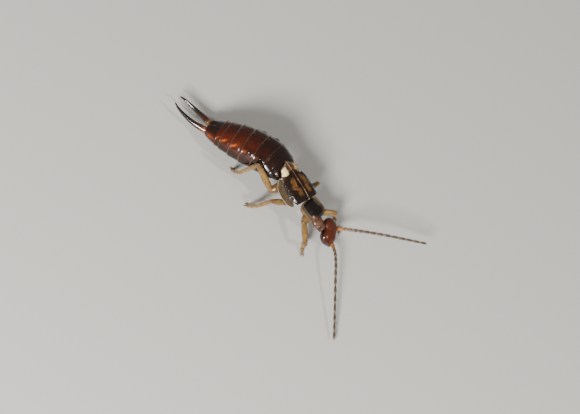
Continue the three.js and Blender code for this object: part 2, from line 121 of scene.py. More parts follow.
def ring_points(number, way, angle, swell):
    """Ring surface: an oval whose half width and height run evenly from its rear edge to its front."""
    length, half, height, _ = RINGS[number]
    front_half, front_height = RING_FRONT if number == 0 else RINGS[number - 1][1:3]
    overlap = 0.2 if number else 0.0
    x = -length + way * (length + overlap)
    bulge = 0.04 * np.sin(np.pi * way) + swell
    wide = half + (front_half - PLATE_STEP - half) * way + bulge
    tall = height + (front_height - PLATE_STEP - height) * way
    across, up = oval(angle, 2.2)
    tall = np.where(up > 0, tall + bulge, 0.9 * tall + swell)
    return np.stack(np.broadcast_arrays(x, across * wide, up * tall), -1)


def lattice(rows, columns):
    """The row value and the column value at every point of a grid."""
    return np.meshgrid(rows, columns, indexing="ij")


def smooth(value, low, high):
    """0 below low, 1 above high, and an even S-curve between them."""
    t = np.clip((np.asarray(value, float) - low) / (high - low), 0, 1)
    return t * t * (3 - 2 * t)


def hill(value, centre, width):
    """Bell of height 1 round a centre, down to 0.37 a width away: exp(-((value - centre) / width)^2)."""
    return np.exp(-(((value - centre) / width) ** 2))


def mixed(first, second, share):
    """Colour that goes from the first to the second as the share goes from 0 to 1."""
    share = np.asarray(share, float)[..., None]
    return np.asarray(first, float) * (1 - share) + np.asarray(second, float) * share


def placed(points, carrier=None):
    """Points of a carrier's frame, in mm, as points of the scene, in metres."""
    matrix, origin = carrier or (np.eye(3), np.zeros(3))
    return (np.asarray(points, float) @ matrix.T + origin + SHIFT) * MM


def volume(points, quads):
    """Six times the volume inside the quads, from the blocks that their halves span with the origin."""
    first, second, third, fourth = (points[quads[:, corner]] for corner in range(4))
    return np.sum(first * (np.cross(second, third) + np.cross(third, fourth)))


def body(grid, colours):
    """Closed form: rows of rings, each joined to the next, and both end rings shut by their middles.
    Where the volume inside comes out below zero, all faces are turned round."""
    rows, columns, _ = grid.shape
    ring = np.arange(columns)
    after = (ring + 1) % columns
    starts = np.arange(rows - 1)[:, None] * columns
    quads = [starts + ring, starts + after, starts + columns + after, starts + columns + ring]
    quads = np.stack(quads, -1).reshape(-1, 4)
    first_middle, last_middle, last_row = rows * columns, rows * columns + 1, (rows - 1) * columns
    caps = np.concatenate([
        np.stack([np.full(columns, first_middle), after, ring], -1),
        np.stack([np.full(columns, last_middle), last_row + ring, last_row + after], -1),
    ])
    points = np.concatenate([grid.reshape(-1, 3), [grid[0].mean(0)], [grid[-1].mean(0)]])
    tints = np.broadcast_to(colours, grid.shape).reshape(-1, 3)
    tints = np.concatenate([tints, tints[:1], tints[-1:]])
    if volume(points - points.mean(0), quads) < 0:
        quads, caps = quads[:, ::-1], caps[:, ::-1]
    return points, quads, caps, tints


def shell(outer, thickness, colours):
    """Thin closed plate: an outer grid, the same grid moved inwards by the thickness, in mm, and its rim.
    The normal is the cross product of the grid's two directions, turned to point away from its middle."""
    along = np.gradient(outer, axis=0)
    across = np.gradient(outer, axis=1)
    normal = np.cross(across, along)
    normal /= np.linalg.norm(normal, axis=2, keepdims=True) + 1e-12
    centre = outer.reshape(-1, 3).mean(0)
    if np.einsum("ijk,ijk->", normal, outer - centre) < 0:
        normal = -normal
    inner = outer - normal * np.asarray(thickness)[..., None] * MM
    rings = np.concatenate([outer, inner[:, ::-1]], 1)
    tints = np.broadcast_to(colours, outer.shape)
    points, quads, _, tints = body(rings, np.concatenate([tints, tints[:, ::-1]], 1))
    rows, columns, _ = outer.shape
    step = np.arange(columns - 1)
    opposite = 2 * columns - 1 - step
    front = np.stack([step, step + 1, opposite - 1, opposite], -1)
    back = front[:, ::-1] + (rows - 1) * 2 * columns
    rims = np.concatenate([front, back])
    kept_way_round = np.array_equal(quads[0], [0, 1, 2 * columns + 1, 2 * columns])
    rims = rims[:, ::-1] if kept_way_round else rims
    return points[:-2], np.concatenate([quads, rims]), np.zeros((0, 3), int), tints[:-2]


def back_plate(number):
    """Back plate of one ring: the ring surface between two angles, with its rear edge rolled down, a
    cross crease, and on two rings a round bump on each side. It is lightest high on the side, where
    painted amber glints stand for light shining through the thin cuticle."""
    close_at_ends = (1 - np.cos(np.linspace(0, np.pi, 46))) / 2
    way, angle = lattice(close_at_ends, np.radians(np.linspace(-26, 206, 110)))
    rolled = -0.035 * smooth(-way, -0.05, 0.0) + 0.022 * smooth(-way, -0.16, -0.05)
    crease = -0.012 * hill(way, 0.72, 0.05)
    above_side = 90 - np.abs(np.degrees(angle) - 90)
    bump = 0.0
    if number in BUMPY_RINGS:
        bump = 0.1 * hill(above_side, BUMP_ANGLE, 8) * hill(way, 0.48, 0.2)
    points = ring_points(number, way, angle, rolled + crease + bump)
    light = 1 - FRONT_DARK[number]
    red = smooth(above_side, 8, 34) * (1 - 0.75 * smooth(above_side, 52, 86)) * np.sin(np.pi * way) ** 0.6
    colour = mixed(RED_BLACK, MAHOGANY, light * (0.35 + 0.65 * smooth(above_side, -5, 20)))
    colour = mixed(colour, GLOWING_RED, red * light * 0.34)
    # Painted glints: amber spots in a slanting row high on each side, standing for light shining through the
    # cuticle.
    slanting = above_side - 33 - 30 * (way - 0.28)
    glow = hill(slanting, 0, 4.5) * hill(way, 0.28, 0.17)
    glow = glow * (0.75 + 0.25 * np.sin(way * 41 + 0.35 * above_side))
    colour = mixed(colour, PAINTED_GLINT_AMBER, glow * PAINTED_GLINT_SHARE[number])
    rim = smooth(-way, -0.045, -0.02) * (0.35 + 0.5 * smooth(-above_side, -60, 10))
    colour = mixed(colour, PALE_RIM, rim)
    if number in BUMPY_RINGS:
        around = hill(above_side, BUMP_ANGLE, 11) * hill(way, 0.48, 0.26)
        colour = mixed(colour, RED_BLACK, 0.9 * around)
    return shell(placed(points, ring_frames[number]), np.full(way.shape, 0.05), colour)


def belly_plate(number):
    """Belly plate of one ring: it lies a little inside the back plate's edge, with a pale rear margin."""
    way, angle = lattice(np.linspace(0, 1, 26), np.radians(np.linspace(188, 352, 60)))
    lift = -0.075 - 0.05 * smooth(way, 0.05, 1.0) - 0.03 * smooth(-way, -0.06, 0.0)
    points = ring_points(number, way, angle, lift)
    colour = mixed(OLIVE_BROWN, RED_BLACK, 0.45 * smooth(way, 0.15, 0.6))
    colour = mixed(colour, PALE_RIM, 0.75 * smooth(-way, -0.07, -0.02))
    return shell(placed(points, ring_frames[number]), np.full(way.shape, 0.04), colour)


def circle(count):
    """Even angles round a full circle; the last one stops a step before the first."""
    return np.linspace(0, 2 * np.pi, count, endpoint=False)


def ring_skin():
    """Soft skin inside the plates: one tube through every ring, well under the plates' surface."""
    angle = circle(64)
    rows = []
    for number in range(len(RINGS)):
        for way in (0.92, 0.6, 0.3, 0.05):
            points = ring_points(number, np.full(angle.shape, way), angle, -0.13)
            rows.append(placed(points, ring_frames[number]))
    return body(np.array(rows), FOLD_BROWN)


def given_values(node, values):
    """Sets the inputs of a node by name."""
    for name, value in values.items():
        node.inputs[name].default_value = value


def maths(group, operation, *values):
    """Adds a Math node whose inputs are numbers or other nodes' outputs, and returns its output."""
    made = group.nodes.new("ShaderNodeMath")
    made.operation = operation
    for place, value in zip(made.inputs, values):
        if isinstance(value, float):
            place.default_value = value
        else:
            group.links.new(value, place)
    return made.outputs[0]


def grain_group():
    """Natural cuticle: cloudy and fine mottling of the tint, uneven gloss, and a bump of tiny pits."""
    group = bpy.data.node_groups.new("Cuticle grain", "ShaderNodeTree")
    add = group.interface.new_socket
    add("Tint", in_out="INPUT", socket_type="NodeSocketColor")
    for name in ("Mottle", "Roughness", "Pits", "Pit size"):
        add(name, in_out="INPUT", socket_type="NodeSocketFloat")
    add("Color", in_out="OUTPUT", socket_type="NodeSocketColor")
    add("Roughness", in_out="OUTPUT", socket_type="NodeSocketFloat")
    add("Normal", in_out="OUTPUT", socket_type="NodeSocketVector")
    nodes, link = group.nodes, group.links.new
    given, result = nodes.new("NodeGroupInput"), nodes.new("NodeGroupOutput")
    place = nodes.new("ShaderNodeTexCoord")
    to_mm = nodes.new("ShaderNodeMapping")
    given_values(to_mm, {"Scale": (1000, 1000, 1000)})
    link(place.outputs["Object"], to_mm.inputs["Vector"])
    clouds = nodes.new("ShaderNodeTexNoise")
    given_values(clouds, {"Scale": 3.5, "Detail": 6})
    link(to_mm.outputs[0], clouds.inputs["Vector"])
    cloud = maths(group, "SUBTRACT", clouds.outputs["Fac"], 0.5)
    swing = maths(group, "MULTIPLY", cloud, given.outputs["Mottle"])
    shaded = nodes.new("ShaderNodeVectorMath")
    shaded.operation = "SCALE"
    link(given.outputs["Tint"], shaded.inputs[0])
    link(maths(group, "MULTIPLY_ADD", swing, 4.0, 1.0), shaded.inputs["Scale"])
    link(shaded.outputs[0], result.inputs["Color"])
    gloss = maths(group, "MULTIPLY_ADD", cloud, 0.25, given.outputs["Roughness"])
    link(gloss, result.inputs["Roughness"])
    pits = nodes.new("ShaderNodeTexVoronoi")
    pits.feature = "SMOOTH_F1"
    link(to_mm.outputs[0], pits.inputs["Vector"])
    link(given.outputs["Pit size"], pits.inputs["Scale"])
    bump = nodes.new("ShaderNodeBump")
    given_values(bump, {"Distance": 0.00002})
    link(given.outputs["Pits"], bump.inputs["Strength"])
    link(pits.outputs["Distance"], bump.inputs["Height"])
    link(bump.outputs[0], result.inputs["Normal"])
    return group


GRAIN = grain_group()


def cuticle(name, roughness, mottle=0.3, pits=0.2, pit_size=18.0, coat=0.6, glow=0.0):
    """Hard insect skin: the tint through the grain, under a clear glossy outer layer. The glow is the
    share of light that soaks a fifth of a millimetre into thin, clear cuticle."""
    material = bpy.data.materials.new(name)
    material.use_nodes = True
    nodes, link = material.node_tree.nodes, material.node_tree.links.new
    shader = nodes["Principled BSDF"]
    tint = nodes.new("ShaderNodeVertexColor")
    tint.layer_name = "tint"
    grain = nodes.new("ShaderNodeGroup")
    grain.node_tree = GRAIN
    given_values(grain, {"Mottle": mottle, "Roughness": roughness, "Pits": pits, "Pit size": pit_size})
    link(tint.outputs["Color"], grain.inputs["Tint"])
    for result, place in (("Color", "Base Color"), ("Roughness", "Roughness"), ("Normal", "Normal")):
        link(grain.outputs[result], shader.inputs[place])
    given_values(shader, {"Coat Weight": coat, "Coat Roughness": 0.12, "IOR": 1.38})
    given_values(shader, {"Subsurface Weight": glow, "Subsurface Scale": 0.00018})
    given_values(shader, {"Subsurface Radius": (1.0, 0.45, 0.2)})
    return material


def coloured(name, points, faces, tints, material):
    """Smooth object whose points carry their colours in the attribute that the cuticle reads."""
    mesh = bpy.data.meshes.new(name)
    mesh.from_pydata(points, [], faces)
    tint = mesh.color_attributes.new("tint", "FLOAT_COLOR", "POINT")
    tint.data.foreach_set("color", np.column_stack([tints, np.ones(len(tints))]).ravel())
    mesh.polygons.foreach_set("use_smooth", np.ones(len(faces), bool))
    mesh.materials.append(material)
    mesh.update()
    made = bpy.data.objects.new(name, mesh)
    bpy.context.collection.objects.link(made)
    return made


def piece(name, parts, material, nodes):
    """Joins closed parts into one object, and says what it rides on and which nodes it replaces."""
    start, faces = 0, []
    for points, quads, triangles, _ in parts:
        faces += (quads + start).tolist() + (triangles + start).tolist()
        start += len(points)
    points = np.concatenate([part[0] for part in parts])
    tints = np.concatenate([part[3] for part in parts])
    made = coloured(name, points, faces, tints, material)
    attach(made, "root")
    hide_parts(*nodes)


plate_finish = cuticle("Polished mahogany plates", 0.22, mottle=0.28, pits=0.3, pit_size=15, coat=0.25)
hind_parts = [back_plate(number) for number in range(len(RINGS))]
hind_parts += [belly_plate(number) for number in range(len(RINGS))]
hind_parts.append(ring_skin())
piece("hind_body", hind_parts, plate_finish, ["abdomen"])


# Last ring. A stout, undivided box of cuticle that narrows to the forceps, with a low swelling
# above the root of each arm, a groove between them and a small rear plate.
LAST = {"half": 1.14, "rear": 0.68, "height": 0.7, "rear_height": 0.4}
LAST_BLACK = (0.016, 0.006, 0.004)
RED_PATCH = (0.17, 0.028, 0.006)
REAR_PLATE = {"length": 0.17, "half": 0.15, "height": 0.14, "drop": 0.05}
REAR_BROWN = (0.05, 0.016, 0.008)


def last_points(way, angle):
    """Oval sections: the half width falls to the rear as a sine, the height evenly, plus the swellings."""
    x = -LAST_LENGTH + way * (LAST_LENGTH + 0.16)
    wide = LAST["rear"] + (LAST["half"] - LAST["rear"]) * np.sin(np.clip(way, 0, 1) * np.pi / 2) ** 0.8
    tall = LAST["rear_height"] + (LAST["height"] - LAST["rear_height"]) * way
    across, up = oval(angle, 2.4)
    side = across * wide
    swelling = 0.07 * hill(np.abs(side), 0.4, 0.2) * hill(way, 0.1, 0.14)
    groove = -0.05 * hill(side, 0, 0.09) * smooth(-way, -0.75, -0.2)
    above = np.where(up > 0, tall + swelling + groove, 0.9 * tall)
    return np.stack([x, side, up * above], -1)


def last_ring():
    """Rings from the front to the rear edge, then drawn in to close the rear face in soft steps."""
    way = np.concatenate([np.linspace(1, 0.02, 60), np.zeros(8)])
    shrink = np.concatenate([np.ones(59), [0.995, 0.97, 0.92, 0.84, 0.72, 0.56, 0.38, 0.2, 0.05]])
    way, angle = lattice(way, circle(120))
    points = last_points(way, angle)
    points[..., 1:] *= shrink[:, None, None]
    above_side = np.degrees(np.arcsin(np.sin(angle)))
    patch = hill(above_side, 14, 17) * hill(way, 0.45, 0.3)
    colour = mixed(LAST_BLACK, MAHOGANY, 0.35 * smooth(-np.abs(above_side - 30), -40, 0))
    colour = mixed(colour, RED_PATCH, 0.9 * patch)
    colour = mixed(colour, OLIVE_BROWN, 0.8 * smooth(-above_side, 12, 40))
    return body(placed(points, last_frame), colour)


def tube_grid(rows, columns):
    """The share of the length and the angle round it at every point of a tube."""
    return lattice(np.linspace(0, 1, rows), circle(columns))


def rear_plate():
    """Small wedge between the arms of the forceps: a tapering oval rod, short and flat."""
    way, angle = tube_grid(14, 28)
    size = (1 - way) ** 0.35
    x = 0.03 - LAST_LENGTH - REAR_PLATE["length"] * way
    y = REAR_PLATE["half"] * size * np.cos(angle)
    z = REAR_PLATE["height"] * size * np.sin(angle) - REAR_PLATE["drop"]
    points = np.stack([x, y, z], -1)
    return body(placed(points, last_frame), REAR_BROWN)


piece("last_ring", [last_ring(), rear_plate()], plate_finish, ["last_segment"])


# Forceps. Two solid, very glossy arms hinged on the last ring: broad and crinkled inside the
# root, bowed, and drawn out to a point that hooks inwards.
FORCEPS = {"length": 3.15, "root": 0.4, "spread": 0.12, "bow": 0.15, "hook": 0.09, "sag": 0.15}
FORCEPS_RADIUS, FORCEPS_LIFT, LIFT_AXIS = 0.25, -21.4, (0, -1, 0.083)
ROOT_AMBER = (0.2, 0.075, 0.022)
ARM_BROWN = (0.03, 0.009, 0.005)
ARM_BLACK = (0.009, 0.005, 0.0045)
forceps_frame = jointed(last_frame, (-LAST_LENGTH, 0, 0.02), turn(LIFT_AXIS, FORCEPS_LIFT))


def forceps_middle(way, side):
    """Middle line of an arm: a sine bow to the outside, then a quick turn inwards at the tip."""
    bow = FORCEPS["bow"] * np.sin(np.pi * way ** 0.9) - FORCEPS["hook"] * smooth(way, 0.85, 1)
    sag = -FORCEPS["sag"] * np.sin(np.pi * way)
    sideways = FORCEPS["root"] + FORCEPS["spread"] * way + bow
    return np.stack([0.12 - way * FORCEPS["length"], side * sideways, sag], -1)


def forceps_arm(side):
    """Round sections on the bowed line; the root is flattened, with small teeth on its inner edge."""
    way, angle = tube_grid(150, 40)
    radius = FORCEPS_RADIUS * (1 - way) ** 0.55 * (1 - 0.12 * way) + 0.012
    across, up = oval(angle, 2.3)
    inner = smooth(-across * side, 0.2, 0.95)
    teeth = 0.028 * inner * np.maximum(0, np.sin(way * 150))
    teeth = teeth * smooth(-way, -0.24, -0.2) * smooth(way, 0.07, 0.1)
    shelf = 0.05 * inner * smooth(-way, -0.3, -0.2)
    points = forceps_middle(way, side)
    points[..., 1] += across * (radius + teeth + shelf)
    points[..., 2] += up * radius * (0.9 + 0.1 * way)
    colour = mixed(ROOT_AMBER, ARM_BROWN, smooth(way, 0.06, 0.2))
    colour = mixed(colour, ARM_BLACK, smooth(way, 0.2, 0.55))
    return body(placed(points, forceps_frame), colour)


forceps_finish = cuticle("Polished black-brown forceps", 0.13, mottle=0.2, pits=0.08, pit_size=10, coat=0.9)
for name, side in (("left", 1), ("right", -1)):
    arm = [forceps_arm(side)]
    piece(f"forceps_arm_{name}", arm, forceps_finish, [f"forceps_{name}"])


# Middle and hind thorax. A plain keg of brown cuticle with side plates, mostly hidden by the
# wing covers; the middle and hind legs hang from its underside.
def keg(carrier, colour, back, front, half, top, bottom, round_front, round_back):
    """Oval sections whose width and depth are drawn in as a sine over a share of the length at each end."""
    way, angle = tube_grid(44, 72)
    ends = np.minimum(np.sin(np.minimum(1, way / round_back) * np.pi / 2),
                      np.sin(np.minimum(1, (1 - way) / round_front) * np.pi / 2))
    across, up = oval(angle, 2.6)
    ribs = 1 + 0.03 * np.sin(way * 19) * (up < 0)
    wide = half * (0.62 + 0.38 * ends) * ribs
    tall = np.where(up > 0, top, bottom * (0.55 + 0.45 * ends))
    points = np.stack([back + way * (front - back), across * wide, up * tall], -1)
    return body(placed(points, carrier), colour)


thorax_finish = cuticle("Brown side plates", 0.34, mottle=0.4, pits=0.4, coat=0.3)
thorax_size = {"back": -1.3, "front": 1.2, "half": 0.66, "top": 0.12, "bottom": 0.8}
thorax_keg = keg(thorax_frame, (0.05, 0.02, 0.009), **thorax_size, round_front=0.3, round_back=0.2)
piece("thorax_body", [thorax_keg], thorax_finish, ["thorax"])


# Wing covers. Two short leathery shells that meet in a straight seam, fold down along a keel and
# flare over the sides; dark brown with a caramel patch by the seam and a clear outer band.
COVER = {
    "back": -1.15, "front": 1.24, "shoulder": 1.27, "half": 1.25, "top": 0.72, "edge": -0.34, "flare": 0.14,
}
COVER_BLACK = (0.013, 0.007, 0.0045)
CARAMEL = (0.165, 0.073, 0.02)
CLEAR_BROWN = (0.07, 0.042, 0.017)
# The pale outer edge and the tan seam are partly their own colour and partly painted highlights along them.
PALE_EDGE_AND_HIGHLIGHT = (0.34, 0.3, 0.21)
SEAM_TAN_AND_HIGHLIGHT = (0.28, 0.12, 0.04)


def cover_edge(x):
    """Height of the lower edge: lowest at mid length, and rising in a curve to both ends."""
    behind = (0.3 - COVER["edge"]) * np.clip(x / COVER["back"], 0, 1) ** 2.6
    ahead = (0.1 - COVER["edge"]) * np.clip(x / COVER["front"], 0, 1) ** 2.2
    return COVER["edge"] + behind + ahead


def cover_surface(way, across):
    """Squared oval flared below the keel; across runs from the seam, 0, to the lower edge, 1. The angle
    at which the oval reaches the height of that edge is read from a table of the oval's heights."""
    x = COVER["back"] + way * (COVER["front"] - COVER["back"])
    narrowing = COVER["half"] * (1 - 0.12 * (1 - way) ** 3)
    half = narrowing + (COVER["shoulder"] - narrowing) * smooth(way, 0.55, 1)
    top = COVER["top"] - 0.07 * smooth(way, 0.75, 1) - 0.04 * (1 - way)
    table = np.radians(np.linspace(90, -60, 400))
    unit_across, unit_up = oval(table, 3.4)
    heights = np.where(unit_up > 0, unit_up * 0.68, unit_up * 0.9)
    lowest = np.interp(-cover_edge(x), -heights, table)
    angle = np.pi / 2 - (np.pi / 2 - lowest) * across
    unit_across, unit_up = oval(angle, 3.4)
    z = np.where(unit_up > 0, unit_up * top, unit_up * 0.9)
    y = unit_across * half * (1 + COVER["flare"] * smooth(0.55 - z, 0, 0.7))
    return x, y, z


def wing_cover(side):
    """Cover shell with a raised keel, faint lengthwise ribs and an oblique rear edge, coloured in
    lengthwise bands: tan seam with a painted highlight, caramel patch, black keel, clear brown band
    and a pale edge with a painted highlight."""
    way, across = lattice(np.linspace(0, 1, 110), np.linspace(0, 1, 120))
    x, y, z = cover_surface(way, across)
    oblique, fading = (0.4, 0) if side > 0 else (0.2, 0.8)
    x = x + oblique * (1 - way) * smooth(across, 0.1, 0.45) * (1 - fading * smooth(across, 0.55, 0.95))
    x = x - 0.1 * smooth(way, 0.9, 1) * smooth(across, 0.3, 1)
    keel = 0.03 * hill(across, 0.5, 0.035) * smooth(-way, -0.95, -0.6)
    ribs = 0.006 * np.sin(across * 46 + 3 * way) * smooth(across, 0.05, 0.2)
    y = np.maximum(y, 0) + 0.012 + keel * 0.7
    z = z + keel + ribs - 0.02 * smooth(-across, -0.02, 0)
    wobble = 0.05 * np.sin(way * 9 + 1.3) + 0.03 * np.sin(way * 23)
    patch = smooth(across + 0.5 * wobble, 0.09, 0.15) * (1 - smooth(across + wobble, 0.24, 0.33))
    patch = patch * smooth(way, 0.12, 0.3) * (1 - smooth(way, 0.72, 0.86))
    patch = patch * (1 - 0.7 * hill(way + 0.5 * across, 0.62, 0.03))
    streaks = 0.72 + 0.28 * np.sin(across * 75 + 4 * np.sin(way * 7))
    colour = mixed(COVER_BLACK, CARAMEL, patch * streaks)
    band = smooth(across, 0.6, 0.7) * (1 - smooth(across, 0.93, 0.97)) * streaks
    colour = mixed(colour, CLEAR_BROWN, 0.75 * band)
    # Pale outer edge, with a painted highlight along it.
    colour = mixed(colour, PALE_EDGE_AND_HIGHLIGHT, 0.9 * smooth(across, 0.965, 0.98))
    # Tan seam line in dashes, with a painted highlight along parts of it.
    seam = smooth(-across, -0.02, -0.008) * (0.35 + 0.65 * smooth(np.cos(way * 17), -0.2, 0.8))
    colour = mixed(colour, SEAM_TAN_AND_HIGHLIGHT, 0.75 * seam)
    thickness = 0.02 + 0.075 * np.sin(np.pi * np.clip(across * 0.9 + 0.08, 0, 1)) ** 0.5
    points = placed(np.stack([x, side * y, z], -1), thorax_frame)
    return shell(points, thickness, colour)


cover_finish = cuticle("Leathery wing cover", 0.2, mottle=0.5, pits=1.0, pit_size=7, coat=0.08, glow=0.05)
for name, side in (("left", 1), ("right", -1)):
    piece(f"wing_cover_{name}", [wing_cover(side)], cover_finish, [f"tegmen_{name}"])


# Folded wing tips. The hind wings fold many times under the covers, and only a blunt tongue of
# each shows: cream outside, brown along the seam and grey at the very end. The left tongue's cream
# is painted darker, as shade.
WING_TIP = {"back": -1.93, "front": -0.8, "width": 0.95, "top": 0.665}
TIP_BROWN = (0.07, 0.034, 0.015)
LIT_RIGHT_CREAM, SHADED_LEFT_CREAM = (0.85, 0.62, 0.32), (0.4, 0.24, 0.11)
END_GREY = (0.13, 0.11, 0.09)
INNER_TAN = (0.3, 0.17, 0.08)


def folded_tip(side):
    """Flat tongue from the seam outwards; its end runs obliquely forward and is rounded off."""
    way, across = lattice(np.linspace(0, 1, 70), np.linspace(0, 1, 60))
    width = WING_TIP["width"] * (1 - (1 - way) ** 3.4) ** 0.5
    x = WING_TIP["back"] + way * (WING_TIP["front"] - WING_TIP["back"])
    x = x + (0.14 * across ** 1.6 - 0.05 * smooth(-across, -0.25, 0)) * (1 - way)
    y = 0.015 + width * across
    z = WING_TIP["top"] - 0.1 * (1 - way) ** 2 - 0.2 * smooth(across, 0.6, 1.15)
    z = z + 0.006 * np.sin(way * 26 + across * 2) - 0.14 * smooth(x, -1.3, -1.08)
    inner_brown = 0.36 + 0.1 * np.sin(way * 5)
    cream = smooth(across - inner_brown, -0.03, 0.06) * smooth(way, 0.2, 0.28)
    # The left tongue takes a darker copy of the cream: painted shade.
    colour = mixed(TIP_BROWN, LIT_RIGHT_CREAM if side < 0 else SHADED_LEFT_CREAM, cream)
    grey = (1 - smooth(way, 0.16, 0.24)) * smooth(across, 0.2, 0.4)
    colour = mixed(colour, END_GREY, 0.85 * grey)
    seam = smooth(-across, -0.06, -0.02)
    colour = mixed(colour, INNER_TAN, 0.8 * seam)
    points = placed(np.stack([x, side * y, z], -1), thorax_frame)
    return shell(points, 0.05 * (1 - 0.8 * across ** 4), colour)


tip_finish = cuticle("Folded wing", 0.38, mottle=0.4, pits=0.4, pit_size=9, coat=0.25, glow=0.1)
for name, side in (("left", 1), ("right", -1)):
    piece(f"folded_wing_{name}", [folded_tip(side)], tip_finish, [f"wing_tip_{name}"])


# Front thorax. A small keg of brown cuticle under the neck plate, joined to the middle thorax by
# skin; the front legs hang from its underside.
front_size = {"back": 0.02, "front": 1.5, "half": 0.6, "top": 0.02, "bottom": 0.78}
front_keg = keg(front_frame, (0.1, 0.05, 0.02), **front_size, round_front=0.4, round_back=0.3)
piece("front_body", [front_keg], thorax_finish, ["prothorax"])


# Neck plate. A shield with a black raised disc, a fine middle groove, and clear, grey-tan side
# margins that turn up a little.
PLATE = {"back": 0.03, "front": 1.56, "half": 1.08, "top": 0.42}
DISC_BLACK = (0.006, 0.004, 0.0035)
MARGIN_TAN = (0.13, 0.09, 0.05)
RUST = (0.12, 0.03, 0.011)


def neck_plate():
    """Rounded square outline; the height is a domed disc that falls to margins that rise again."""
    way, across = lattice(np.linspace(0, 1, 90), np.linspace(-1, 1, 110))
    behind = np.sin(np.minimum(1, way / 0.18) * np.pi / 2)
    before = np.sin(np.minimum(1, (1 - way) / 0.2) * np.pi / 2)
    ends = np.minimum(behind, before)
    half = PLATE["half"] * (0.88 + 0.12 * ends) * (1 - 0.02 * way)
    x = PLATE["back"] + way * (PLATE["front"] - PLATE["back"])
    x = x - 0.13 * across ** 4 * smooth(way, 0.5, 1) + 0.1 * across ** 4 * smooth(-way, -0.4, 0)
    reach = np.abs(across)
    disc_edge = 0.58 + 0.14 * way
    dome = (1 - reach ** 2.4) ** (1 / 2.2) * (0.72 + 0.28 * ends)
    shoulder = 1 - smooth(reach, disc_edge - 0.16 - 0.2 * smooth(-way, -0.7, -0.4), disc_edge + 0.12)
    z = 0.02 + PLATE["top"] * (0.3 * dome + 0.62 * shoulder * (0.55 + 0.45 * ends))
    z = z + 0.1 * smooth(reach, 0.6, 1)
    z = z - 0.02 * hill(across, 0, 0.02) * smooth(-way, -0.92, -0.8)
    hollows = hill(reach, 0.3, 0.09) * hill(way, 0.55, 0.08)
    cross_grooves = hill(way, 0.9, 0.03) + hill(way, 0.1, 0.03)
    z = z - 0.03 * hollows - 0.02 * cross_grooves * dome
    margin = smooth(reach - disc_edge, -0.02, 0.08)
    colour = mixed(DISC_BLACK, MARGIN_TAN, margin)
    rust = smooth(way, 0.62, 0.88) * smooth(reach, 0.28, 0.5) * (1 - margin * 0.6)
    colour = mixed(colour, RUST, 0.75 * rust)
    points = placed(np.stack([x, half * across, z], -1), front_frame)
    return shell(points, 0.03 + 0.05 * (1 - reach ** 6), colour)


neck_plate_finish = cuticle("Neck plate", 0.24, mottle=0.35, pits=0.3, coat=0.15, glow=0.05)
piece("neck_shield", [neck_plate()], neck_plate_finish, ["pronotum"])


# Neck. Soft folded skin with two pairs of small brown plates, between the shield and the head.
# It lets the head turn; here it is one folded tube, darker where the plates lie.
NECK_SKIN = (0.1, 0.045, 0.022)
NECK_PLATES = (0.036, 0.014, 0.007)


def neck():
    """Tube of round sections whose radius rises and falls in a few soft folds."""
    way, angle = tube_grid(60, 64)
    radius = 0.5 + 0.06 * np.sin(np.pi * way) - 0.12 * way + 0.016 * np.sin(way * 22 + 0.8 * np.cos(angle))
    x = 1.3 + 1.12 * way
    points = np.stack([x, radius * np.cos(angle), 0.6 * radius * np.sin(angle) - 0.3 - 0.12 * way], -1)
    sides = smooth(np.abs(np.cos(angle)), 0.3, 0.8)
    colour = mixed(NECK_SKIN, NECK_PLATES, sides * (0.5 + 0.5 * np.sin(way * 9)))
    return body(placed(points, front_frame), colour)


neck_finish = cuticle("Folded neck skin", 0.36, mottle=0.5, pits=0.5, pit_size=12, coat=0.35, glow=0.1)
piece("neck_skin", [neck()], neck_finish, ["neck"])


# Head capsule. One hard, polished, flattened box: squared temples, a notch at the back, a fine
# Y-shaped line on top and a narrower face.
HEAD = {"x": 0.78, "z": 0.05, "length": 0.88, "half": 1.04, "height": 0.46, "notch": 0.2}
# The crown red is the head's own colour; the underside, face and temple colours are painted shade.
SHADED_HEAD_UNDERSIDE, CROWN_RED = (0.02, 0.005, 0.003), (0.062, 0.011, 0.003)
SHADED_FACE_BLACK, SHADED_TEMPLE_BROWN, LINE_BROWN = (0.013, 0.005, 0.004), (0.02, 0.006, 0.004), (0.03, 0.008, 0.005)


def unit_ball(rows, columns, gap):
    """Rings of a unit ball: how far along its pole, and how far along the two ways across it. The first
    and last ring lie a small angle, the gap, from the pole."""
    tilt, angle = lattice(np.linspace(gap, np.pi - gap, rows), circle(columns))
    return np.cos(tilt), np.sin(tilt) * np.cos(angle), np.sin(tilt) * np.sin(angle)


def head_surface(x, y, z):
    """Unit ball pushed out to a squared form, narrowed in front, notched behind, with its relief."""
    fill = (np.abs(x) ** 2.6 + np.abs(y) ** 2.6 + np.abs(z) ** 2.2) ** (-1 / 2.6)
    ahead, left, up = x * fill, y * fill, z * fill
    notch = np.where(ahead < 0, -HEAD["notch"] * ahead * hill(left, 0, 0.34), 0)
    narrow = 1 - 0.3 * smooth(ahead, 0.1, 1)
    flatten = 1 - 0.25 * smooth(ahead, 0.3, 1)
    on_top = smooth(up, 0.2, 0.5)
    stem = hill(left, 0, 0.022) * smooth(-ahead, -0.05, 0.05)
    fork_line = np.abs(np.abs(left) - 0.75 * np.clip(ahead, 0, 1))
    fork = hill(fork_line, 0, 0.025) * smooth(ahead, -0.02, 0.04) * (1 - smooth(ahead, 0.45, 0.6))
    brow = 0.03 * hill(np.abs(left), 0.42, 0.2) * hill(ahead, 0.25, 0.3)
    line = np.maximum(stem, fork)
    hollow = 0.02 * hill(left, 0, 0.2) * hill(ahead, 0.55, 0.15)
    relief = on_top * (brow - 0.014 * line - hollow)
    points = np.stack([
        HEAD["x"] + ahead * HEAD["length"] + notch,
        left * narrow * HEAD["half"],
        HEAD["z"] + up * HEAD["height"] * flatten + relief,
    ], -1)
    return points, ahead, left, up, line * on_top


